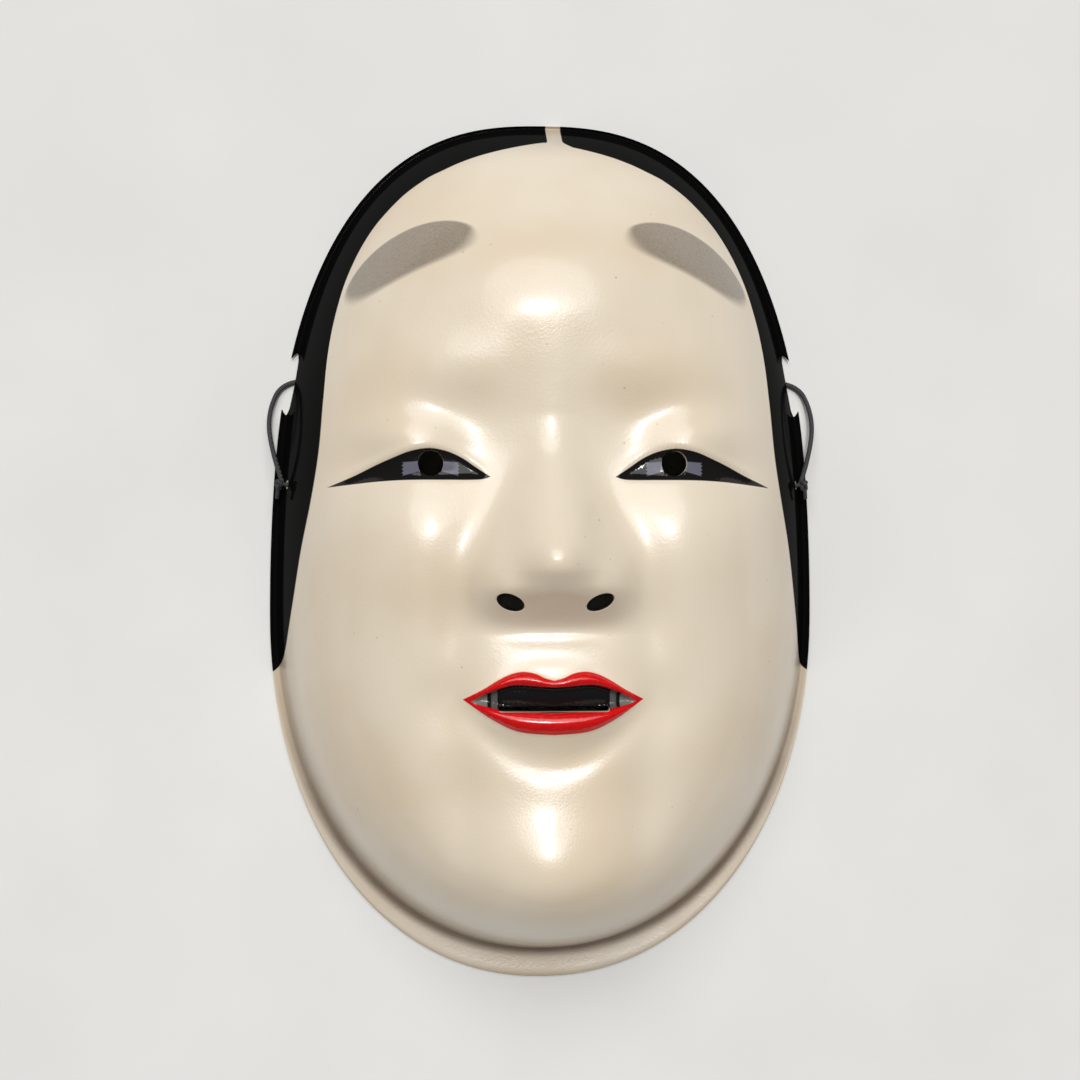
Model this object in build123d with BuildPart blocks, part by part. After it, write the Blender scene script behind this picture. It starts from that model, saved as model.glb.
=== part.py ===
from build123d import *
from math import cos, exp, pi, radians, sin, sqrt, tan
import os

os.makedirs("parts", exist_ok=True)

# Rim outline: a superellipse that is blunter at the forehead than at the chin
mid_y = -15.0
rim_half_width = 70.0
rim_up = 125.0
rim_down = 95.0
rim_thickness = 1.6

# Foot of the face inside the rim; what lies between the two is the flared rim
foot_half_width = 68.5
foot_up = 124.3
foot_down = 88.0

# Moulding
wall = 1.5
dome_height = 48.0
dome_power = 5.2
chin_power = 3.0
grid_step = 4.0

# Openings in the face
pupil_x, pupil_y, pupil_diameter = 28.8, 21.0, 6.0
nostril_x, nostril_y = 10.4, -11.5
nostril_half_length, nostril_half_width, nostril_tilt = 3.4, 1.9, 22.0
slot_y, slot_length, slot_width = -36.6, 26.0, 1.2

# Elastic cord, its holes in the side walls and the arches it leaves by
cord_diameter = 1.2
cord_hole_diameter = 2.2
cord_hole_y = 17.0
cord_hole_z = 8.0
arch_y = 43.0
arch_height = 3.2
arch_radius = 18.0
knot_x = 66.2
knot_radius = 1.7
tail_length = 3.6
plug_length = 4.4
stop_radius = 1.4


def ease(t):
    t = min(1.0, max(0.0, t))
    return t * t * (3.0 - 2.0 * t)


def bump(x, y, center_x, center_y, width_x, width_y):
    return exp(-(((x - center_x) / width_x) ** 2) - ((y - center_y) / width_y) ** 2)


def blunt(y):
    return 2.12 + 0.43 * ease((y + 40.0) / 80.0)


def outline_ratio(x, y, half_width, up, down):
    """0 at the middle of the mask and 1 on the outline."""
    power = blunt(y)
    reach = up if y > mid_y else down
    total = (abs(x) / half_width) ** power + (abs(y - mid_y) / reach) ** power
    return total ** (1.0 / power)


def outline_point(angle, half_width, up, down):
    """The point of the outline seen from its middle at an angle in radians."""
    reach = rim_down
    for _ in range(40):
        x = reach * cos(angle)
        y = mid_y + reach * sin(angle)
        reach /= outline_ratio(x, y, half_width, up, down)
    return (reach * cos(angle), mid_y + reach * sin(angle))


def nose_height(x, y):
    """The ridge that rises to the tip, the broad body under it and the two wings."""
    rise = min(1.0, max(0.0, (33.0 - y) / 37.0)) ** 1.35
    fall = 1.0 - ease((2.5 - y) / 21.0)
    ridge = 13.5 * rise * fall * exp(-((x / (6.2 + 3.3 * ease((24.0 - y) / 26.0))) ** 2.2))
    body_width = 9.0 + 8.3 * ease((22.0 - y) / 28.0)
    body_rise = ease((26.0 - y) / 30.0) * (1.0 - ease((-7.5 - y) / 12.0))
    body = 8.5 * body_rise * exp(-((x / body_width) ** 3.6))
    return ridge + body + 2.6 * bump(x, y, 13.0, -7.5, 4.8, 5.5)


def face_height(x, y):
    """Height of the outer face over the rim plane, the same on both sides of x = 0."""
    x = sqrt(x * x + 0.04)
    ratio = outline_ratio(x, y, foot_half_width, foot_up, foot_down)
    # Blunter towards the chin, so the face stays full down to a short steep wall
    power = dome_power + chin_power * ease((-40.0 - y) / 40.0) * exp(-((x / 34.0) ** 2))
    if ratio < 1.0:
        z = dome_height * (1.0 - ratio**power)
    else:
        z = -dome_height * power * (ratio - 1.0)
    # Forehead and brow ridge
    z += 5.5 * bump(x, y, 0.0, 72.0, 38.0, 24.0)
    z += 1.4 * bump(x, y, 24.0, 44.0, 20.0, 9.0)
    # Eye sockets with the upper lids standing in them
    z -= 5.0 * bump(x, y, 23.0, 27.0, 13.0, 10.0)
    z -= 2.0 * bump(x, y, 44.0, 22.0, 12.0, 9.0)
    z += 4.6 * bump(x, y, 31.0, 27.0, 15.0, 6.5)
    # Cheeks
    z += 4.5 * bump(x, y, 33.0, 2.0, 18.0, 20.0)
    z += nose_height(x, y)
    # Mouth area with the folds beside it, the lips and the parting between them
    z += 4.2 * bump(x, y, 0.0, -33.0, 27.0, 20.0)
    z -= 2.2 * bump(x, y, 25.0, -36.0, 8.0, 9.0)
    z -= 1.8 * bump(x, y, 23.5, -18.0, 5.5, 11.0)
    upper_lip_y = -31.2 - 3.0 * (x / 21.0) ** 2
    z += 1.6 * exp(-(((y - upper_lip_y) / 3.2) ** 2) - (x / 19.0) ** 4)
    lower_lip_y = -40.3 + 4.2 * (x / 21.0) ** 2
    z += 2.2 * exp(-(((y - lower_lip_y) / 3.4) ** 2) - (x / 17.0) ** 4)
    z -= 2.6 * bump(x, y, 0.0, -35.6, 19.0, 2.8)
    # Trench under the lower lip, then the chin and the hollows beside it
    trench_y = -49.5 + 8.5 * (x / 18.0) ** 2
    z -= 1.2 * exp(-(((y - trench_y) / 4.2) ** 2) - (x / 19.5) ** 4)
    z += 8.5 * bump(x, y, 0.0, -82.0, 23.0, 20.0) * (1.0 - min(1.0, ratio) ** 10)
    z -= 1.8 * bump(x, y, 21.5, -62.0, 6.0, 15.0)
    return z


def inner_height(x, y):
    """The outer face moved inward by the wall, measured square to the surface."""
    step = 0.5
    slope_x = (face_height(x + step, y) - face_height(x - step, y)) / (2.0 * step)
    slope_y = (face_height(x, y + step) - face_height(x, y - step)) / (2.0 * step)
    return face_height(x, y) - wall * sqrt(1.0 + slope_x**2 + slope_y**2)


def height_face(height):
    """A smooth face through the heights over a rectangle wider than the rim."""
    columns = round(2.0 * (rim_half_width + 4.0) / grid_step)
    low_y = mid_y - rim_down - 4.0
    rows = round((rim_up + rim_down + 8.0) / grid_step)
    points = []
    for i in range(columns + 1):
        x = -rim_half_width - 4.0 + grid_step * i
        line = []
        for j in range(rows + 1):
            y = low_y + grid_step * j
            line.append(Vector(x, y, height(x, y)))
        points.append(line)
    return Face.make_surface_from_array_of_points(points, tol=0.1, min_deg=3, max_deg=3)


def outline_points(inset, count):
    points = []
    for i in range(count):
        angle = 2.0 * pi * i / count
        points.append(outline_point(angle, rim_half_width - inset, rim_up - inset, rim_down - inset))
    return points


outer_face = height_face(face_height)
inner_face = height_face(inner_height)

# Face shell: the block under the outer face on a rim plate, hollowed from behind
with BuildPart() as face_shell:
    with BuildSketch(Plane.XY) as rim_outline:
        with BuildLine():
            Spline(*outline_points(0.0, 72), periodic=True)
        make_face()
    extrude(amount=90.0)
    extrude(outer_face, amount=200.0, dir=(0, 0, -1), mode=Mode.INTERSECT)
    extrude(rim_outline.sketch, amount=rim_thickness)
    extrude(inner_face, amount=200.0, dir=(0, 0, -1), mode=Mode.SUBTRACT)
    # Pupils, nostrils and the slot under the teeth, all cut straight through
    with BuildSketch(Plane.XY.offset(20.0)):
        with Locations((pupil_x, pupil_y), (-pupil_x, pupil_y)):
            Circle(pupil_diameter / 2.0)
        with Locations((nostril_x, nostril_y)):
            Ellipse(nostril_half_length, nostril_half_width, rotation=nostril_tilt)
        with Locations((-nostril_x, nostril_y)):
            Ellipse(nostril_half_length, nostril_half_width, rotation=-nostril_tilt)
        with Locations((0.0, slot_y)):
            SlotOverall(slot_length, slot_width)
    extrude(amount=60.0, mode=Mode.SUBTRACT)
    # Cord holes through both side walls, and the low arches the cord leaves by
    with BuildSketch(Plane.YZ.offset(-rim_half_width - 5.0)):
        with Locations((cord_hole_y, cord_hole_z)):
            Circle(cord_hole_diameter / 2.0)
        with Locations((arch_y, arch_height - arch_radius)):
            Circle(arch_radius)
    extrude(amount=2.0 * rim_half_width + 10.0, mode=Mode.SUBTRACT)
face_shell.part.label = "face_shell"

# Elastic cord: from the right knot it swings outside the rim, goes under it at the arch,
# lies in a wide loop in the hollow and comes back out to the left knot
floor_z = cord_diameter / 2.0 + 0.05
right_half = [
    (knot_x, cord_hole_y, cord_hole_z),
    (68.9, 24.8, 7.2),
    (70.6, 35.0, 3.2),
    (66.6, 44.4, floor_z),
    (51.5, 43.0, floor_z),
    (38.0, 18.0, floor_z),
    (30.0, -15.0, floor_z),
    (14.0, -49.0, floor_z),
]
cord_route = right_half + [(-x, y, z) for x, y, z in reversed(right_half)]


def corner_radii(route):
    radii = []
    for before, corner, after in zip(route, route[1:], route[2:]):
        way_in = Vector(corner) - Vector(before)
        way_out = Vector(after) - Vector(corner)
        turn = radians(way_in.get_angle(way_out))
        radii.append(0.45 * min(way_in.length, way_out.length) / tan(turn / 2.0))
    return radii


cord_radii = corner_radii(cord_route)
with BuildPart() as elastic_cord:
    with BuildLine() as cord_line:
        FilletPolyline(*cord_route, radius=cord_radii)
    cord_path = cord_line.wire()
    with BuildSketch(Plane(origin=cord_path @ 0, z_dir=cord_path % 0)):
        Circle(cord_diameter / 2.0)
    sweep()
elastic_cord.part.label = "elastic_cord"

# Knots: a ball with two turns of cord round it, a short tail, and the cord's end that
# goes through the side hole to a smaller stop knot on the inside
knot_center = (knot_x, cord_hole_y, cord_hole_z)
with BuildPart() as right_knot:
    with Locations(knot_center):
        Sphere(knot_radius)
    with Locations((knot_x, cord_hole_y - 0.6, cord_hole_z), (knot_x, cord_hole_y + 0.6, cord_hole_z)):
        Torus(knot_radius - 0.35, cord_diameter / 2.0, rotation=(90, 0, 0))
    tail = Plane(origin=knot_center, z_dir=(0.15, -1.0, -0.25))
    with Locations(tail.location):
        Cylinder(cord_diameter / 2.0, tail_length, align=(Align.CENTER, Align.CENTER, Align.MIN))
    with Locations(tail.offset(tail_length).location):
        Sphere(cord_diameter / 2.0)
    plug = Plane(origin=knot_center, z_dir=(-1.0, 0.0, 0.0))
    with Locations(plug.location):
        Cylinder(cord_diameter / 2.0, plug_length, align=(Align.CENTER, Align.CENTER, Align.MIN))
    with Locations(plug.offset(plug_length).location):
        Sphere(stop_radius)
    add(face_shell.part, mode=Mode.SUBTRACT)
    add(elastic_cord.part, mode=Mode.SUBTRACT)
right_knot.part.label = "right_knot"

with BuildPart() as left_knot:
    mirror(right_knot.part, about=Plane.YZ)
left_knot.part.label = "left_knot"

export_step(face_shell.part, "parts/face_shell.step")
export_step(elastic_cord.part, "parts/elastic_cord.step")
export_step(right_knot.part, "parts/right_knot.step")
export_step(left_knot.part, "parts/left_knot.step")

cord_section = pi * (cord_diameter / 2.0) ** 2
print("cord radii", [round(r, 1) for r in cord_radii])
print("cord length", round(cord_path.length, 1))
print("cord volume", round(elastic_cord.part.volume, 1))
print("section times length", round(cord_section * cord_path.length, 1))
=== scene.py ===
import math

import bmesh
import bpy
from mathutils import Matrix, Vector


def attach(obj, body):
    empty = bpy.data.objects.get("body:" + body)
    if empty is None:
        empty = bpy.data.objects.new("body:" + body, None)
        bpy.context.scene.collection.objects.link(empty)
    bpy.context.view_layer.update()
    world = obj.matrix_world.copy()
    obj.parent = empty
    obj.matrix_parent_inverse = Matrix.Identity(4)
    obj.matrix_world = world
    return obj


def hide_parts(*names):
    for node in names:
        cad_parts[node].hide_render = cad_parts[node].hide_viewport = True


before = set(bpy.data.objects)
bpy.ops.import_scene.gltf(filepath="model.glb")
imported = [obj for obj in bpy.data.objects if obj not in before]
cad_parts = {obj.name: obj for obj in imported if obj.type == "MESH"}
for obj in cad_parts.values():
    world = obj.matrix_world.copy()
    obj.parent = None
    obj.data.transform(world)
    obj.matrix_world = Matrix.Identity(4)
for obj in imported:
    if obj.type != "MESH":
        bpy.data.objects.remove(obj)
bpy.context.view_layer.update()

mm = 0.001


# small helpers; lengths are in millimetres
def ease(t):
    t = min(1.0, max(0.0, t))
    return t * t * (3.0 - 2.0 * t)


def band(value, low, high, soft):
    # 1 between low and high, with soft edges inside them
    return ease((value - low) / soft) * ease((high - value) / soft)


def bump(x, y, centerX, centerY, widthX, widthY):
    return math.exp(-(((x - centerX) / widthX) ** 2) - ((y - centerY) / widthY) ** 2)


def along(points, at):
    # smooth line through given points, level beyond its ends
    if at <= points[0][0]:
        return points[0][1]
    if at >= points[-1][0]:
        return points[-1][1]
    slopes = []
    for i in range(len(points)):
        before = points[max(0, i - 1)]
        after = points[min(len(points) - 1, i + 1)]
        slopes.append((after[1] - before[1]) / (after[0] - before[0]))
    for i in range(len(points) - 1):
        (x0, y0), (x1, y1) = points[i], points[i + 1]
        if at <= x1:
            span = x1 - x0
            t = (at - x0) / span
            rise = t * t * (3.0 - 2.0 * t)
            start = t * (1.0 - t) ** 2 * span * slopes[i]
            end = t * t * (t - 1.0) * span * slopes[i + 1]
            return y0 + (y1 - y0) * rise + start + end


def addObject(name, data):
    obj = bpy.data.objects.new(name, data)
    bpy.context.scene.collection.objects.link(obj)
    return obj


def meshObject(name, bm):
    mesh = bpy.data.meshes.new(name)
    bm.to_mesh(mesh)
    bm.free()
    return addObject(name, mesh)


def evaluatedMesh(obj):
    bpy.context.view_layer.update()
    graph = bpy.context.evaluated_depsgraph_get()
    return bpy.data.meshes.new_from_object(obj.evaluated_get(graph))


# the camera looks nearly straight down from a little to the left
viewer = {
    "place": (-29.0, 2.9, 505.0),
    "aim": (-0.4, 2.9, 0.0),
    "angle": 31.0,
}


def makeCamera():
    data = bpy.data.cameras.new("viewer")
    camera = addObject("viewer", data)
    camera.location = [c * mm for c in viewer["place"]]
    back = (camera.location - Vector(viewer["aim"]) * mm).normalized()
    right = Vector((0.0, 1.0, 0.0)).cross(back).normalized()
    turn = Matrix((right, back.cross(right), back)).transposed()
    camera.rotation_euler = turn.to_euler()
    data.angle = math.radians(viewer["angle"])
    bpy.context.scene.camera = camera
    print("camera ready")


makeCamera()

# the elastic lies in a loop on the floor, inside the hollow; its length is in metres
cord = {
    "diameter": 1.2,
    "length": 0.3066,
    "floorZ": 0.65,
    "knot": (66.2, 17.0, 8.0),
}
cord["rightHalf"] = [
    cord["knot"],
    (68.9, 24.8, 7.2),
    (70.6, 35.0, 3.2),
    (66.6, 44.4, cord["floorZ"]),
    (51.5, 43.0, cord["floorZ"]),
    (38.0, 18.0, cord["floorZ"]),
    (30.0, -15.0, cord["floorZ"]),
    (14.0, -49.0, cord["floorZ"]),
]


def makeCord():
    route = cord["rightHalf"] + [(-x, y, z) for x, y, z in reversed(cord["rightHalf"])]
    data = bpy.data.curves.new("elasticLoop", "CURVE")
    data.dimensions = "3D"
    # the thickness sits in the points' radius, so that the curve's box is its true size
    data.bevel_depth = 1.0
    data.bevel_resolution = 5
    data.resolution_u = 24
    data.use_fill_caps = True
    spline = data.splines.new("NURBS")
    spline.points.add(len(route) - 1)
    for point, (x, y, z) in zip(spline.points, route):
        point.co = (x * mm, y * mm, z * mm, 1.0)
        point.radius = cord["diameter"] / 2.0 * mm
    spline.order_u = 3
    spline.use_endpoint_u = True
    return addObject("elasticLoop", data)


# the tied ends: a knot lying on the side wall, its tail, and the end that goes through
# the wall to a smaller knot inside
knot = {
    "strand": 0.52,
    "size": 0.38,
    "stopSize": 0.28,
    "lean": 15.0,
    "lift": 1.05,
    "tail": (0.55, -3.4, -0.95),
    "sag": -0.35,
    "inside": -4.4,
    "points": 40,
}


def addStrand(data, points, closed):
    spline = data.splines.new("POLY")
    spline.points.add(len(points) - 1)
    for point, place in zip(spline.points, points):
        point.co = (*(place * mm), 1.0)
    spline.use_cyclic_u = closed
    spline.use_smooth = True


def trefoil(center, size, axis):
    turn = Vector((0.0, 0.0, 1.0)).rotation_difference(axis)
    points = []
    for i in range(knot["points"]):
        t = math.tau * i / knot["points"]
        place = Vector((
            math.sin(t) + 2.0 * math.sin(2.0 * t),
            math.cos(t) - 2.0 * math.cos(2.0 * t),
            -1.25 * math.sin(3.0 * t),
        ))
        points.append(center + turn @ (place * size))
    return points


def makeKnot(name, side):
    lean = math.radians(knot["lean"])
    axis = Vector((math.cos(lean) * side, 0.0, math.sin(lean)))
    start = Vector(cord["knot"])
    start.x *= side
    center = start + axis * knot["lift"]
    stop = start + Vector((knot["inside"] * side, 0.0, 0.0))
    tail = Vector(knot["tail"])
    tail.x *= side
    data = bpy.data.curves.new(name, "CURVE")
    data.dimensions = "3D"
    data.bevel_depth = knot["strand"] * mm
    data.bevel_resolution = 4
    data.use_fill_caps = True
    addStrand(data, trefoil(center, knot["size"], axis), True)
    addStrand(data, trefoil(stop, knot["stopSize"], Vector((side, 0.0, 0.0))), True)
    addStrand(data, [center, start, stop], False)
    # the tail droops a little and ends in a heat-sealed tip
    sag = Vector((0.0, 0.0, knot["sag"]))
    tailPoints = [center, center + tail * 0.5 - sag, center + tail * 0.85, center + tail + sag * 0.6]
    addStrand(data, tailPoints, False)
    curve = addObject(name, data)
    mesh = evaluatedMesh(curve)
    bpy.data.objects.remove(curve)
    return addObject(name, mesh)


elasticLoop = makeCord()
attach(elasticLoop, "root")
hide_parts("elastic_cord")
rightKnot = makeKnot("rightKnot", 1.0)
leftKnot = makeKnot("leftKnot", -1.0)
for piece, node in ((rightKnot, "right_knot"), (leftKnot, "left_knot")):
    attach(piece, "root")
    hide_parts(node)
print("cord and knots ready")


# outlines of the mask, the rim it stands on and the foot of the face inside it
rim = {"midY": -15.0, "halfWidth": 70.0, "up": 125.0, "down": 95.0}
foot = {"halfWidth": 68.5, "up": 124.3, "down": 88.0}
blunt = {"chin": 2.12, "gain": 0.43, "halfSpan": 40.0}
dome = {"height": 48.0, "power": 5.2, "chinPower": 3.0, "wall": 1.5}

# soft rises and hollows: height, place in x and y, half width in x and y
bosses = {
    "forehead": (5.5, 0.0, 72.0, 38.0, 24.0),
    "browBone": (1.4, 24.0, 44.0, 20.0, 9.0),
    "innerSocket": (-5.0, 23.0, 27.0, 13.0, 10.0),
    "outerSocket": (-2.0, 44.0, 22.0, 12.0, 9.0),
    "lid": (4.6, 31.0, 27.0, 15.0, 6.5),
    "cheek": (4.5, 33.0, 2.0, 18.0, 20.0),
    "mouthArea": (4.2, 0.0, -33.0, 27.0, 20.0),
    "mouthCorner": (-2.2, 25.0, -36.0, 8.0, 9.0),
    "noseFold": (-1.8, 23.5, -18.0, 5.5, 11.0),
    "chinSide": (-1.8, 21.5, -62.0, 6.0, 15.0),
}
chinBoss = (8.5, 0.0, -82.0, 23.0, 20.0)

# ridges across the face: height, y in the middle, how much y changes out to a given x, that x,
# half width, reach in x
ridges = {
    "chinTrench": (-1.2, -49.5, 8.5, 18.0, 4.2, 19.5),
    "upperLip": (1.0, -31.2, -3.0, 21.0, 3.2, 19.0),
    "lowerLip": (1.2, -40.3, 4.2, 21.0, 3.4, 17.0),
}
fineRidges = {
    "browLine": (0.9, 57.0, 0.0, 1.0, 9.0, 19.0),
    "underNose": (0.3, -20.2, 0.0, 1.0, 1.9, 10.0),
    "overLip": (0.35, -26.9, 0.0, 1.0, 1.5, 7.0),
}

eye = {
    "upper": [(14.9, 17.9), (18.4, 20.2), (21.0, 22.0), (23.8, 23.4), (26.5, 24.2), (29.2, 24.5),
              (31.9, 24.2), (34.6, 23.5), (37.4, 22.4), (41.5, 20.7), (47.1, 18.1), (53.6, 15.6)],
    "lower": [(14.9, 17.7), (17.0, 17.1), (25.2, 17.0), (30.6, 17.0), (36.0, 16.9), (41.5, 16.6),
              (47.1, 16.1), (53.6, 15.5)],
    "inner": 14.9,
    "outer": 53.6,
    "pupil": (28.8, 21.0),
    "pupilDiameter": 6.0,
    "recess": 1.1,
}

mouth = {
    "lipTop": [(0.0, -29.8), (2.0, -29.3), (4.5, -28.2), (7.4, -27.8), (10.2, -28.4), (13.3, -29.9),
               (16.5, -31.9), (19.6, -33.6), (21.3, -34.5)],
    "openTop": [(0.0, -31.4), (3.7, -31.2), (7.2, -30.9), (9.9, -31.0), (13.0, -31.9), (16.2, -33.2),
                (19.5, -34.9)],
    "openBottom": [(0.0, -37.4), (6.3, -37.2), (10.2, -36.9), (13.0, -36.6), (15.2, -36.2),
                   (18.1, -35.5), (19.5, -35.0)],
    "lipBottom": [(0.0, -42.6), (6.0, -42.2), (9.4, -41.5), (12.5, -40.1), (15.7, -38.3),
                  (18.4, -36.5), (21.3, -34.5)],
    "recess": 2.4,
    "teethEnd": 13.2,
    "sideToothEnd": 14.7,
}

nostril = {"place": (10.4, -11.5), "halfLength": 3.4, "halfWidth": 1.9, "tilt": 22.0}
slot = {"y": -36.6, "length": 26.0, "width": 1.2}
sideHole = {"y": 17.0, "z": 8.0, "diameter": 2.2}
arch = {"y": 43.0, "height": 3.2, "radius": 18.0}


def outlineRatio(x, y, size):
    # 0 in the middle, 1 on the outline, which is blunter at the forehead than at the chin
    power = blunt["chin"] + blunt["gain"] * ease((y + blunt["halfSpan"]) / (2.0 * blunt["halfSpan"]))
    reach = size["up"] if y > rim["midY"] else size["down"]
    total = (abs(x) / size["halfWidth"]) ** power + (abs(y - rim["midY"]) / reach) ** power
    return total ** (1.0 / power)


def outlineReach(angle, size):
    reach = rim["down"]
    for step in range(40):
        x = reach * math.cos(angle)
        y = rim["midY"] + reach * math.sin(angle)
        reach /= outlineRatio(x, y, size)
    return reach


nose = {"ridge": 13.5, "body": 8.5, "wing": 2.6, "crease": 0.3}


def noseHeight(x, y):
    # the ridge to the tip, the broad body under it, and the wings
    rise = min(1.0, max(0.0, (33.0 - y) / 37.0)) ** 1.35
    fall = 1.0 - ease((2.5 - y) / 21.0)
    ridgeWidth = 6.2 + 3.3 * ease((24.0 - y) / 26.0)
    ridge = nose["ridge"] * rise * fall * math.exp(-((x / ridgeWidth) ** 2.2))
    bodyWidth = 9.0 + 8.3 * ease((22.0 - y) / 28.0)
    bodyLength = ease((26.0 - y) / 30.0) * (1.0 - ease((-7.5 - y) / 12.0))
    body = nose["body"] * bodyLength * math.exp(-((x / bodyWidth) ** 3.6))
    wing = nose["wing"] * bump(x, y, 13.0, -7.5, 4.8, 5.5)
    crease = nose["crease"] * bump(x, y, 20.5, -7.0, 3.2, 9.0)
    return ridge + body + wing - crease


def eyeRelief(x, y):
    if not (eye["inner"] - 2.0 < x < eye["outer"] + 2.0 and 12.0 < y < 30.0):
        return 0.0
    upper = along(eye["upper"], x)
    lower = along(eye["lower"], x)
    ends = ease((x - eye["inner"]) / 3.0) * ease((eye["outer"] - x) / 8.0)
    hollow = ease((upper - y) / 1.5 + 0.25) * ease((y - lower) / 2.0 + 0.15)
    lidEdge = 0.45 * math.exp(-(((y - upper - 0.9) / 0.8) ** 2)) * ends
    ball = 0.9 * bump(x, y, 29.0, 20.6, 10.0, 2.6)
    return lidEdge - (eye["recess"] - ball) * hollow * ends


def lipRoll(share, rise, soft):
    # how far a lip stands out at a share of the way from its edge to the opening
    if not 0.0 < share < 1.0:
        return 0.0
    return (0.25 + rise * math.sin(math.pi * share)) * ease(share * soft) * ease((1.0 - share) * soft)


def mouthRelief(x, y):
    if x > 22.5 or not -46.0 < y < -24.0:
        return 0.0
    lipTop = along(mouth["lipTop"], x)
    openTop = along(mouth["openTop"], x)
    openBottom = along(mouth["openBottom"], x)
    lipBottom = along(mouth["lipBottom"], x)
    ends = ease((21.6 - x) / 6.0)
    upperShare = (y - openTop) / max(0.3, lipTop - openTop)
    lowerShare = (y - lipBottom) / max(0.3, openBottom - lipBottom)
    lips = (lipRoll(upperShare, 0.9, 5.0) + lipRoll(lowerShare, 0.85, 6.0)) * ends
    opening = ease(openTop - y + 0.1) * ease(y - openBottom + 0.1)
    depth = mouth["recess"] * (0.45 + 0.55 * ease((19.0 - x) / 6.0))
    # the row of teeth stands in the opening, with one more tooth at each end
    middle = (openTop + openBottom) / 2.0
    teeth = 0.9 * math.exp(-(((y - middle - 0.7) / 2.2) ** 2)) * ease(mouth["teethEnd"] + 0.4 - x)
    sideTooth = 0.8 * band(x, mouth["teethEnd"] + 0.1, mouth["sideToothEnd"] + 0.1, 0.5)
    return lips - (depth - teeth - sideTooth) * opening


def boss(x, y, height, centerX, centerY, widthX, widthY):
    return height * bump(x, y, centerX, centerY, widthX, widthY)


def ridgeAcross(x, y, height, middleY, change, changeX, width, reach):
    lineY = middleY + change * (x / changeX) ** 2
    return height * math.exp(-(((y - lineY) / width) ** 2) - (x / reach) ** 4)


def faceHeight(x, y, detail=True):
    x = math.sqrt(x * x + 0.04)
    ratio = outlineRatio(x, y, foot)
    # blunter towards the chin, so the face stays full down to a short steep wall
    power = dome["power"] + dome["chinPower"] * ease((-40.0 - y) / 40.0) * math.exp(-((x / 34.0) ** 2))
    if ratio < 1.0:
        z = dome["height"] * (1.0 - ratio ** power)
    else:
        z = -dome["height"] * power * (ratio - 1.0)
    z += sum(boss(x, y, *shape) for shape in bosses.values())
    z += boss(x, y, *chinBoss) * (1.0 - min(1.0, ratio) ** 10)
    z += sum(ridgeAcross(x, y, *shape) for shape in ridges.values())
    z += noseHeight(x, y)
    if detail:
        z += eyeRelief(x, y) + mouthRelief(x, y)
        z += sum(ridgeAcross(x, y, *shape) for shape in fineRidges.values())
        # the fine ridge from the brow line down to the nose
        z += 0.7 * math.exp(-((x / 5.5) ** 2)) * band(y, 22.0, 58.0, 14.0)
    return z


def backRecess(x, y):
    # how much further back the inside lies where the outside is pressed in
    x = abs(x)
    lips = band(y, -41.5, -27.5, 3.0) * ease((23.0 - x) / 5.0)
    eyes = band(x, eye["inner"] - 4.0, eye["outer"] + 3.0, 5.0) * band(y, 13.0, 28.0, 3.0)
    return mouth["recess"] * lips + eye["recess"] * eyes


def faceNormal(x, y, step=0.4):
    slopeX = (faceHeight(x + step, y, False) - faceHeight(x - step, y, False)) / (2.0 * step)
    slopeY = (faceHeight(x, y + step, False) - faceHeight(x, y - step, False)) / (2.0 * step)
    return Vector((-slopeX, -slopeY, 1.0)).normalized()


shell = {
    "segments": 400,
    "faceRings": 132,
    "insideRings": 44,
    "footSharpness": 2.2,
    # steps of the flared rim from the foot to its edge: share of the width, and height
    "rimSteps": [(0.12, 1.35), (0.3, 1.45), (0.5, 1.6), (0.7, 1.8), (0.85, 1.95), (0.95, 1.95),
                 (0.99, 1.7), (1.0, 1.3), (1.0, 0.5), (0.99, 0.1), (0.96, 0.0), (0.5, 0.0), (0.1, 0.0)],
}


def spinShell():
    # a profile on the XZ plane: its radius says how far out a ring lies, its height which side
    bm = bmesh.new()
    rings = []
    for i in range(shell["faceRings"] + 1):
        rings.append((i / shell["faceRings"], 2.0))
    for i in range(len(shell["rimSteps"])):
        rings.append((1.0 + 0.01 * (i + 1), 1.0))
    for i in range(shell["insideRings"] + 1):
        rings.append((1.0 - i / shell["insideRings"], 0.0))
    verts = [bm.verts.new((radius, 0.0, side)) for radius, side in rings]
    edges = [bm.edges.new(pair) for pair in zip(verts, verts[1:])]
    bmesh.ops.spin(bm, geom=verts + edges, cent=(0, 0, 0), axis=(0, 0, 1), angle=math.tau,
                   steps=shell["segments"], use_merge=True)
    bmesh.ops.remove_doubles(bm, verts=bm.verts, dist=1e-6)
    return bm


def aboveRim(z):
    # eases into the height of the rim's first step instead of passing below it
    lowest = shell["rimSteps"][0][1]
    if z - lowest >= 8.0:
        return z
    sharpness = shell["footSharpness"]
    return lowest + math.log1p(math.exp((z - lowest) * sharpness)) / sharpness


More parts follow.
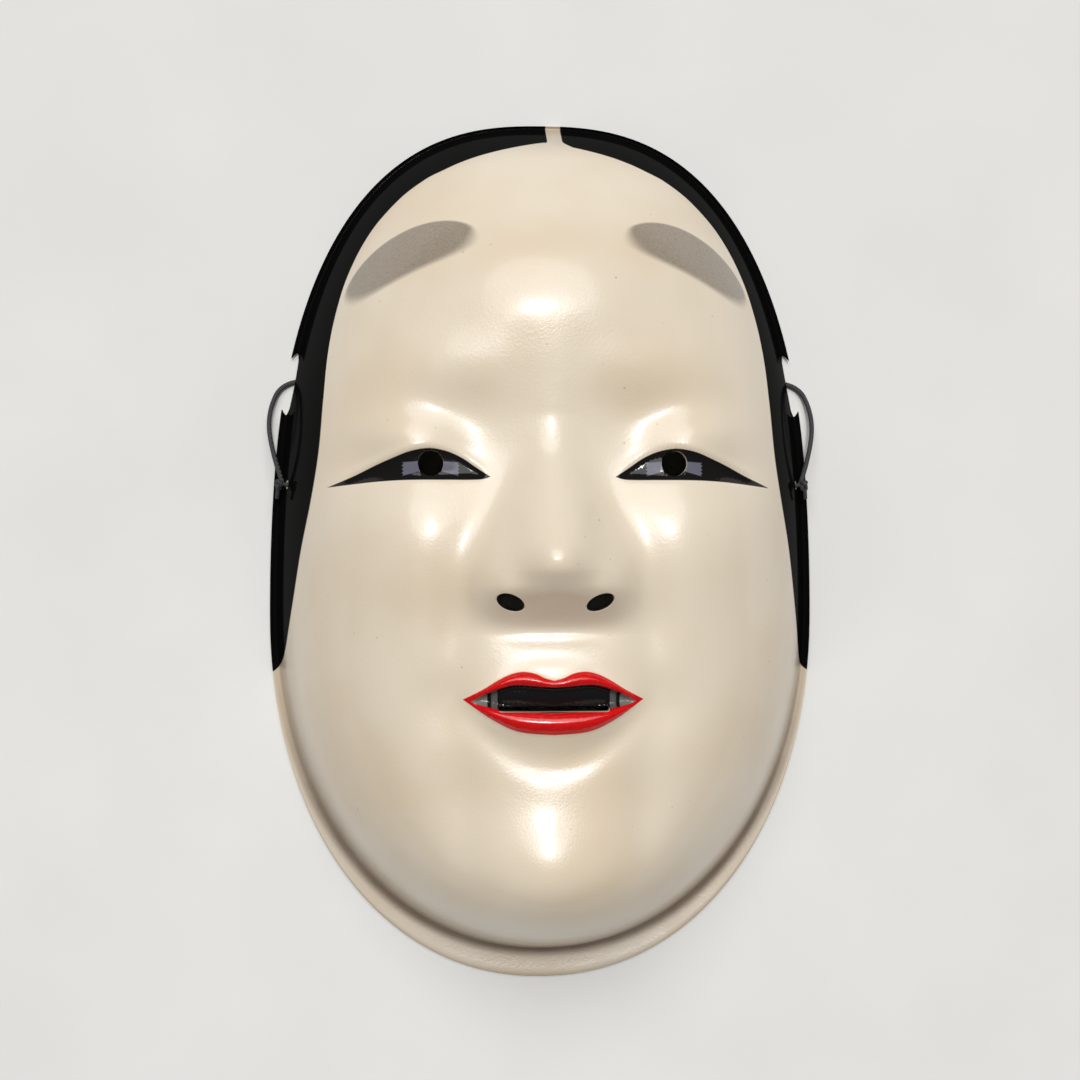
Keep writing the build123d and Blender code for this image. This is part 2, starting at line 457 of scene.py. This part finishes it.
def layOut(bm):
    # each ring goes to its place on the face, on the rim or on the inside
    wall = dome["wall"]
    steps = shell["rimSteps"]
    reaches = {}
    for vert in bm.verts:
        radius = math.hypot(vert.co.x, vert.co.y)
        angle = math.atan2(vert.co.y, vert.co.x)
        key = round(angle * 1e4)
        if key not in reaches:
            reaches[key] = (outlineReach(angle, foot), outlineReach(angle, rim))
        footReach, rimReach = reaches[key]
        ringX, ringY = math.cos(angle), math.sin(angle)
        x = ringX * footReach * radius
        y = rim["midY"] + ringY * footReach * radius
        if vert.co.z > 1.5:
            z = aboveRim(faceHeight(x, y))
        elif vert.co.z > 0.5:
            share, z = steps[min(len(steps) - 1, round((radius - 1.0) * 100.0) - 1)]
            reach = footReach + (rimReach - footReach) * share
            if z == 0.0 and share < 0.9:
                reach = (footReach - wall) + (rimReach - footReach + wall) * share
            x, y = ringX * reach, rim["midY"] + ringY * reach
        else:
            x, y, z = Vector((x, y, faceHeight(x, y, False))) - faceNormal(x, y) * wall
            z = max(0.0, z - backRecess(x, y))
        vert.co = Vector((x, y, z)) * mm


def makeShell():
    bm = spinShell()
    inside = [f for f in bm.faces if f.calc_center_median().z < 0.5]
    for face in inside:
        face.material_index = 1
    layOut(bm)
    bmesh.ops.recalc_face_normals(bm, faces=bm.faces)
    for face in bm.faces:
        face.smooth = True
    obj = meshObject("maskFace", bm)
    print("shell laid out:", len(obj.data.polygons), "faces")
    return obj


drillEnds = {"low": 20.0, "high": 80.0}


def addDrill(bm, place, halfLength, halfWidth, tilt, material):
    low, high = drillEnds["low"], drillEnds["high"]
    drill = bmesh.ops.create_cone(bm, cap_ends=True, segments=72, radius1=1.0, radius2=1.0, depth=high - low)
    verts = drill["verts"]
    turn = Matrix.Rotation(math.radians(tilt), 3, "Z")
    bmesh.ops.scale(bm, vec=(halfLength, halfWidth, 1.0), verts=verts)
    bmesh.ops.rotate(bm, cent=(0, 0, 0), matrix=turn, verts=verts)
    bmesh.ops.translate(bm, vec=(place[0], place[1], (low + high) / 2.0), verts=verts)
    for face in {f for v in verts for f in v.link_faces}:
        face.material_index = material


def finishTool(bm, name):
    bmesh.ops.scale(bm, vec=(mm, mm, mm), verts=bm.verts)
    bmesh.ops.recalc_face_normals(bm, faces=bm.faces)
    return meshObject(name, bm)


def makeDrills():
    # the pupils and nostrils; the walls of a pupil are bare plastic, those of a nostril painted
    bm = bmesh.new()
    pupilX, pupilY = eye["pupil"]
    nostrilX, nostrilY = nostril["place"]
    half = eye["pupilDiameter"] / 2.0
    for side in (-1.0, 1.0):
        addDrill(bm, (side * pupilX, pupilY), half, half, 0.0, 1)
        addDrill(bm, (side * nostrilX, nostrilY), nostril["halfLength"], nostril["halfWidth"],
                 side * nostril["tilt"], 0)
    return finishTool(bm, "drills")


def makeSlotTool():
    bm = bmesh.new()
    low, high = drillEnds["low"], drillEnds["high"]
    made = bmesh.ops.create_cube(bm, size=1.0)
    bmesh.ops.scale(bm, vec=(slot["length"], slot["width"], high - low), verts=made["verts"])
    bmesh.ops.translate(bm, vec=(0.0, slot["y"], (low + high) / 2.0), verts=made["verts"])
    corners = [e for e in bm.edges if abs(e.verts[0].co.z - e.verts[1].co.z) > 1.0]
    bmesh.ops.bevel(bm, geom=corners, offset=slot["width"] * 0.49, segments=8, profile=0.5,
                    affect="EDGES", material=-1)
    for face in bm.faces:
        face.material_index = 1
    return finishTool(bm, "slotTool")


def makeSideTool():
    # the two side holes in one cylinder and the two arches of the rim in another
    bm = bmesh.new()
    long = 2.0 * rim["halfWidth"] + 10.0
    turn = Matrix.Rotation(math.radians(90.0), 3, "Y")
    for radius, y, z, count in (
        (sideHole["diameter"] / 2.0, sideHole["y"], sideHole["z"], 48),
        (arch["radius"], arch["y"], arch["height"] - arch["radius"], 192),
    ):
        made = bmesh.ops.create_cone(bm, cap_ends=True, segments=count, radius1=radius, radius2=radius,
                                     depth=long)
        bmesh.ops.rotate(bm, cent=(0, 0, 0), matrix=turn, verts=made["verts"])
        bmesh.ops.translate(bm, vec=(0.0, y, z), verts=made["verts"])
    for face in bm.faces:
        face.material_index = 1
    return finishTool(bm, "sideTool")


def cutShell(obj, tools):
    for tool in tools:
        modifier = obj.modifiers.new(tool.name, "BOOLEAN")
        modifier.operation = "DIFFERENCE"
        modifier.solver = "MANIFOLD"
        modifier.object = tool
    mesh = evaluatedMesh(obj)
    obj.modifiers.clear()
    obj.data = mesh
    for tool in tools:
        bpy.data.objects.remove(tool)
    for face in mesh.polygons:
        face.use_smooth = True
    print("shell cut:", len(mesh.polygons), "faces")


class Signal:
    # a varying value in a shader, with arithmetic written as for plain numbers

    def __init__(self, tree, socket):
        self.tree = tree
        self.socket = socket

    def math(self, operation, *others):
        return self.node("ShaderNodeMath", {"operation": operation}, dict(enumerate((self, *others))))

    def node(self, kind, settings, inputs):
        # any other node: its settings first, then the values or links of its sockets
        made = self.tree.nodes.new(kind)
        for name, value in settings.items():
            if name == "curve":
                points = made.mapping.curves[0].points
                while len(points) < len(value):
                    points.new(0.5, 0.5)
                for point, place in zip(points, value):
                    point.location = place
                made.mapping.update()
            else:
                setattr(made, name, value)
        for key, value in inputs.items():
            if isinstance(value, Signal):
                self.tree.links.new(value.socket, made.inputs[key])
            else:
                made.inputs[key].default_value = value
        return Signal(self.tree, made.outputs[0])

    def __add__(self, other):
        return self.math("ADD", other)

    __radd__ = __add__

    def __sub__(self, other):
        return self.math("SUBTRACT", other)

    def __rsub__(self, other):
        return (self * -1.0) + other

    def __mul__(self, other):
        return self.math("MULTIPLY", other)
    def __truediv__(self, other):
        return self.math("DIVIDE", other)

    def __rtruediv__(self, other):
        return (self ** -1.0) * other

    def __abs__(self):
        return self.math("ABSOLUTE")

    def __pow__(self, other):
        return self.math("POWER", other)

    def least(self, other):
        return self.math("MINIMUM", other)

    def most(self, other):
        return self.math("MAXIMUM", other)

    def rise(self, low, high):
        # 0 below low, 1 above high, smooth between
        return self.node("ShaderNodeMapRange", {"interpolation_type": "SMOOTHSTEP"},
                         {"Value": self, "From Min": low, "From Max": high, "To Min": 0.0, "To Max": 1.0})

    def within(self, low, high, soft):
        return self.rise(low - soft, low + soft) * (1.0 - self.rise(high - soft, high + soft))

    def line(self, points):
        # the same smooth line as along(), drawn as a curve node over a span of 0 to 1
        low, high = points[0][0], points[-1][0]
        values = [v for p, v in points]
        bottom, top = min(values) - 1.0, max(values) + 1.0
        count = 33
        curve = []
        for i in range(count):
            share = i / (count - 1)
            value = along(points, low + (high - low) * share)
            curve.append((share, (value - bottom) / (top - bottom)))
        share = ((self - low) / (high - low)).most(0.0).least(1.0)
        drawn = self.node("ShaderNodeFloatCurve", {"curve": curve}, {"Value": share})
        return drawn * (top - bottom) + bottom

    def mix(self, first, second):
        # self is the share of the second colour
        made = self.tree.nodes.new("ShaderNodeMix")
        made.data_type = "RGBA"
        self.tree.links.new(self.socket, made.inputs["Factor"])
        for name, value in (("A", first), ("B", second)):
            socket = [s for s in made.inputs if s.name == name and s.type == "RGBA"][0]
            if isinstance(value, Signal):
                self.tree.links.new(value.socket, socket)
            else:
                socket.default_value = (*value, 1.0)
        return Signal(self.tree, [s for s in made.outputs if s.type == "RGBA"][0])


def linear(red, green, blue):
    # a colour as written on screen, 0 to 255, to the shader's own scale
    out = []
    for value in (red, green, blue):
        c = value / 255.0
        out.append(c / 12.92 if c <= 0.04045 else ((c + 0.055) / 1.055) ** 2.4)
    return tuple(out)


def startMaterial(name):
    material = bpy.data.materials.new(name)
    material.use_nodes = True
    tree = material.node_tree
    shader = tree.nodes["Principled BSDF"]
    place = Signal(tree, tree.nodes.new("ShaderNodeTexCoord").outputs["Object"])
    inMm = place.node("ShaderNodeVectorMath", {"operation": "SCALE"}, {0: place, "Scale": 1000.0})
    return material, shader, inMm


def splitAxes(inMm):
    split = inMm.node("ShaderNodeSeparateXYZ", {}, {0: inMm})
    outputs = split.socket.node.outputs
    return Signal(inMm.tree, outputs["X"]), Signal(inMm.tree, outputs["Y"])


def noise(inMm, perMm, detail=3.0, roughness=0.5):
    inputs = {"Vector": inMm, "Scale": perMm, "Detail": detail, "Roughness": roughness}
    return inMm.node("ShaderNodeTexNoise", {}, inputs)


def speckle(inMm, perMm):
    return inMm.node("ShaderNodeTexVoronoi", {}, {"Vector": inMm, "Scale": perMm})


def bumped(height, strength, distanceMm, normal=None):
    inputs = {"Height": height, "Strength": strength, "Distance": distanceMm * mm}
    if normal is not None:
        inputs["Normal"] = normal
    return height.node("ShaderNodeBump", {}, inputs)


def plug(shader, name, value):
    if isinstance(value, Signal):
        value.tree.links.new(value.socket, shader.inputs[name])
    else:
        shader.inputs[name].default_value = value


# paint on the face, with colours as they look on screen
paint = {
    "skin": linear(236, 222, 200),
    "skinWarm": linear(230, 212, 186),
    "dirt": linear(150, 132, 112),
    "paintedShade": linear(104, 86, 70),
    "hair": linear(13, 12, 12),
    "brow": linear(120, 108, 96),
    # painted shade for the wall, groove and rim round the lower face
    "lip": linear(222, 12, 16),
    "lipDeep": linear(206, 9, 11),
    "eyeBlack": linear(22, 20, 19),
    "sclera": linear(106, 105, 117),
    "toothBlack": linear(20, 18, 18),
    "sideTooth": linear(88, 88, 86),
    "cornerGrey": linear(122, 120, 114),
    # half width of the bare face at a height, and its top edge at a distance from the middle
    "hairSide": [(-36.0, 78.0), (-32.0, 71.0), (-30.0, 68.2), (-28.0, 66.6), (-25.4, 65.6), (-12.2, 63.0),
                 (0.4, 60.7), (12.7, 58.0), (25.1, 56.0), (37.5, 55.0), (50.3, 53.9), (63.1, 51.2),
                 (69.5, 49.0), (75.9, 46.0), (82.2, 41.9), (88.5, 36.1)],
    "hairTop": [(0.0, 103.9), (2.0, 103.5), (8.0, 102.0), (15.9, 99.6), (21.5, 97.4), (25.8, 95.3),
                (29.6, 93.4), (36.1, 88.5), (41.9, 82.2), (46.0, 75.9), (49.0, 69.5), (51.2, 63.1),
                (53.9, 50.3), (55.0, 37.5)],
    # the bare strip through the hair at the top, flaring out below y down to where it starts
    "parting": {"x": 2.8, "halfWidth": 1.9, "y": 103.0, "flare": 4.0, "start": 98.0},
}


def hairMask(x, y, ax):
    side = (ax - y.line(paint["hairSide"])).rise(-0.15, 0.15)
    top = (y - ax.line(paint["hairTop"])).rise(-0.15, 0.15)
    parting = paint["parting"]
    flare = (1.0 - y.rise(parting["y"] - 2.5, parting["y"] + 1.6)) * parting["flare"]
    strip = (parting["halfWidth"] + flare - abs(x - parting["x"])).rise(-0.15, 0.15)
    gap = strip * y.rise(parting["start"], parting["start"] + 0.5)
    return side.most(top) * (1.0 - gap)


brow = {
    "x": 35.0,
    "y": 71.5,
    "tilt": 25.0,
    "halfLength": 17.6,
    "halfWidth": 5.7,
    "lift": 0.3,
    "arch": 0.011,
    "taper": 0.035,
    "power": 2.3,
}


def browMask(ax, y, grain):
    # a smudge turned outwards and down, with a crisp upper edge and a soft lower one
    c, s = math.cos(math.radians(brow["tilt"])), math.sin(math.radians(brow["tilt"]))
    out = (ax - brow["x"]) * c - (y - brow["y"]) * s
    up = (ax - brow["x"]) * s + (y - brow["y"]) * c
    up = up - brow["lift"] + out * out * brow["arch"]
    halfWidth = brow["halfWidth"] - out * brow["taper"]
    fullness = abs(out / brow["halfLength"]) ** brow["power"] + abs(up / halfWidth) ** brow["power"]
    soft = 0.6 - up.rise(-2.5, 3.0) * 0.42
    mask = ((1.1 - fullness) / soft).rise(0.0, 1.0)
    return mask * (0.68 + grain * 0.2)


def eyeMasks(ax, y):
    upper = ax.line(eye["upper"])
    lower = ax.line(eye["lower"])
    inside = (upper - y).rise(-0.08, 0.12) * (y - lower).rise(-0.08, 0.12)
    inside = inside * ax.within(eye["inner"] - 0.1, eye["outer"] + 0.1, 0.1)
    # the whites lie on both sides of the pupil and end in small teeth
    fromPupil = abs(ax - eye["pupil"][0])
    saw = abs((y / 0.85).math("FRACT") - 0.5)
    white = fromPupil.rise(2.6, 2.8) * (6.35 + saw * 0.9 - fromPupil).rise(-0.08, 0.12)
    white = white * (21.45 - (fromPupil - 2.8) * 0.07 - y).rise(-0.1, 0.15)
    white = white * (y - 19.0 + (fromPupil - 2.8) * 0.27).rise(-0.1, 0.15)
    return inside, white * inside


def mouthMasks(ax, y):
    lipTop = ax.line(mouth["lipTop"])
    openTop = ax.line(mouth["openTop"])
    openBottom = ax.line(mouth["openBottom"])
    lipBottom = ax.line(mouth["lipBottom"])
    lips = (lipTop - y).rise(-0.1, 0.12) * (y - lipBottom).rise(-0.1, 0.12)
    opening = (openTop - y).rise(-0.06, 0.1) * (y - openBottom).rise(-0.06, 0.1)
    return lips * (21.4 - ax).rise(-0.1, 0.2), opening * (19.5 - ax).rise(-0.1, 0.2)


def toothColor(ax):
    end, side = mouth["teethEnd"], mouth["sideToothEnd"]
    isSide = ax.within(end, side, 0.12)
    isCorner = ax.rise(side + 0.75, side + 0.95)
    color = isSide.mix(paint["toothBlack"], paint["sideTooth"])
    return isCorner.mix(color, paint["cornerGrey"])


def edgeRatio(ax, y):
    # the same outline as outlineRatio(), 1 at the foot of the face
    power = blunt["chin"] + y.rise(-blunt["halfSpan"], blunt["halfSpan"]) * blunt["gain"]
    isUp = y.math("GREATER_THAN", rim["midY"])
    reach = foot["down"] + isUp * (foot["up"] - foot["down"])
    total = (ax / foot["halfWidth"]) ** power + (abs(y - rim["midY"]) / reach) ** power
    return total ** (1.0 / power)


def makeFacePaint():
    material, shader, inMm = startMaterial("facePaint")
    tree = material.node_tree
    x, y = splitAxes(inMm)
    ax = abs(x)
    broad = noise(inMm, 0.03, 2.0)
    fine = noise(inMm, 0.9, 4.0)
    grain = speckle(inMm, 2.6)
    wear = noise(inMm, 0.18, 5.0, 0.6)
    specks = speckle(inMm, 0.22)

    hair = hairMask(x, y, ax)
    browShare = browMask(ax, y, grain)
    eyes, whites = eyeMasks(ax, y)
    lips, opening = mouthMasks(ax, y)

    skin = broad.rise(0.35, 0.7).mix(paint["skin"], paint["skinWarm"])
    dirt = (1.0 - specks.rise(0.03, 0.08)) * wear.rise(0.48, 0.6) * 0.5
    skin = dirt.mix(skin, paint["dirt"])
    # painted shade: the steep wall round the face, the groove at its foot and the rim beyond it are
    # darkened, most towards the chin, varied a little by the wear noise
    ratio = edgeRatio(ax, y)
    lower = 1.0 - y.rise(-75.0, -25.0)
    grooveShade = ratio.rise(0.9, 0.985) * (1.0 - ratio.rise(1.0, 1.03)) * 0.6
    grooveShade = grooveShade + ratio.rise(0.985, 1.02) * 0.26
    skin = (grooveShade * (0.45 + lower * 0.55 + wear * 0.3)).mix(skin, paint["paintedShade"])
    color = browShare.mix(skin, paint["brow"])
    lipColor = fine.rise(0.35, 0.65).mix(paint["lip"], paint["lipDeep"])
    color = lips.mix(color, lipColor)
    plug(shader, "Base Color", color)
    plug(shader, "Roughness", 0.3 + wear.rise(0.45, 0.75) * 0.08 - lips * 0.15)
    plug(shader, "Coat Weight", 0.3 - lips * 0.22)
    plug(shader, "Coat Roughness", 0.12)
    peel = noise(inMm, 1.6, 2.0) * 0.7 + noise(inMm, 0.28, 2.0) * 0.45
    peelBump = bumped(peel, 0.7, 0.08)
    plug(shader, "Normal", bumped(lips, 0.5, 0.05, peelBump))

    # hair, eyes and teeth are ink with a thin gloss and no sheen of their own
    ink = tree.nodes.new("ShaderNodeBsdfPrincipled")
    inkColor = eyes.mix(paint["hair"], paint["eyeBlack"])
    inkColor = whites.mix(inkColor, paint["sclera"])
    inkColor = opening.mix(inkColor, toothColor(ax))
    plug(ink, "Base Color", inkColor)
    plug(ink, "Roughness", 0.2 + wear.rise(0.4, 0.75) * 0.12)
    plug(ink, "Specular IOR Level", 0.0)
    plug(ink, "Coat Weight", 0.6 - hair * 0.54)
    plug(ink, "Coat Roughness", 0.1)
    plug(ink, "Normal", peelBump)

    inked = hair.most(eyes).most(opening)
    shaders = {1: Signal(tree, shader.outputs[0]), 2: Signal(tree, ink.outputs[0])}
    both = inked.node("ShaderNodeMixShader", {}, {0: inked} | shaders)
    tree.links.new(both.socket, tree.nodes["Material Output"].inputs["Surface"])
    return material


def makeInsidePlastic():
    material, shader, inMm = startMaterial("insidePlastic")
    flow = noise(inMm, 0.05, 4.0, 0.6)
    grit = noise(inMm, 1.6, 3.0)
    plug(shader, "Base Color", flow.rise(0.35, 0.7).mix(linear(222, 212, 194), linear(206, 194, 174)))
    plug(shader, "Roughness", 0.42 + grit * 0.12)
    plug(shader, "Normal", bumped(grit + flow * 1.5, 0.3, 0.05))
    return material


def makeElastic():
    material, shader, inMm = startMaterial("elasticBraid")
    yarn = inMm.node("ShaderNodeTexWave", {"wave_type": "BANDS", "bands_direction": "DIAGONAL"},
                     {"Vector": inMm, "Scale": 1.1, "Distortion": 1.5})
    fuzz = noise(inMm, 4.0, 4.0)
    lightness = (yarn * 0.6 + fuzz * 0.4).rise(0.3, 0.8)
    plug(shader, "Base Color", lightness.mix(linear(20, 20, 22), linear(78, 77, 78)))
    plug(shader, "Roughness", 0.62 + fuzz * 0.2)
    plug(shader, "Normal", bumped(yarn * 0.8 + fuzz * 0.5, 0.6, 0.08))
    return material


facePaint = makeFacePaint()
insidePlastic = makeInsidePlastic()
elasticBraid = makeElastic()
for piece in (elasticLoop, rightKnot, leftKnot):
    piece.data.materials.append(elasticBraid)

maskFace = makeShell()
tools = (makeDrills(), makeSlotTool(), makeSideTool())
for obj in (maskFace, *tools):
    obj.data.materials.append(facePaint)
    obj.data.materials.append(insidePlastic)
cutShell(maskFace, tools)
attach(maskFace, "root")
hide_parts("face_shell")
print("face ready, triangles:", sum(len(f.vertices) - 2 for f in maskFace.data.polygons))


# pale floor, two lamps and a backdrop
studio = {
    "floor": linear(234, 233, 230),
    "floorShade": linear(230, 229, 226),
    "world": 0.13,
    "backdrop": 0.84,
    "lamps": [
        # name, direction it shines from, angle in degrees, strength
        ("key", (-10.0, 215.0, 870.0), 8.0, 1.1),
        ("soft", (-60.0, 520.0, 950.0), 45.0, 1.68),
    ],
}


def makeFloor():
    bm = bmesh.new()
    bmesh.ops.create_grid(bm, x_segments=1, y_segments=1, size=3.0)
    floor = meshObject("floor", bm)
    material, shader, inMm = startMaterial("paleFloor")
    soft = noise(inMm, 0.02, 3.0)
    plug(shader, "Base Color", soft.rise(0.3, 0.7).mix(studio["floor"], studio["floorShade"]))
    plug(shader, "Roughness", 0.8)
    floor.data.materials.append(material)
    return floor


def makeStudio():
    floor = makeFloor()
    for name, place, angle, strength in studio["lamps"]:
        lamp = bpy.data.lights.new(name, "SUN")
        lamp.angle = math.radians(angle)
        lamp.energy = strength
        obj = addObject(name, lamp)
        obj.location = Vector(place) * mm
        obj.rotation_euler = obj.location.to_track_quat("Z", "Y").to_euler()
    world = bpy.data.worlds.new("studio")
    world.use_nodes = True
    background = world.node_tree.nodes["Background"]
    background.inputs["Color"].default_value = (1.0, 1.0, 1.0, 1.0)
    # a pale backdrop where the camera sees past the floor, without lighting anything
    seen = Signal(world.node_tree, world.node_tree.nodes.new("ShaderNodeLightPath").outputs["Is Camera Ray"])
    plug(background, "Strength", seen * (studio["backdrop"] - studio["world"]) + studio["world"])
    bpy.context.scene.world = world
    bpy.context.scene.view_settings.view_transform = "Standard"
    print("studio ready")


makeStudio()

bpy.context.view_layer.update()
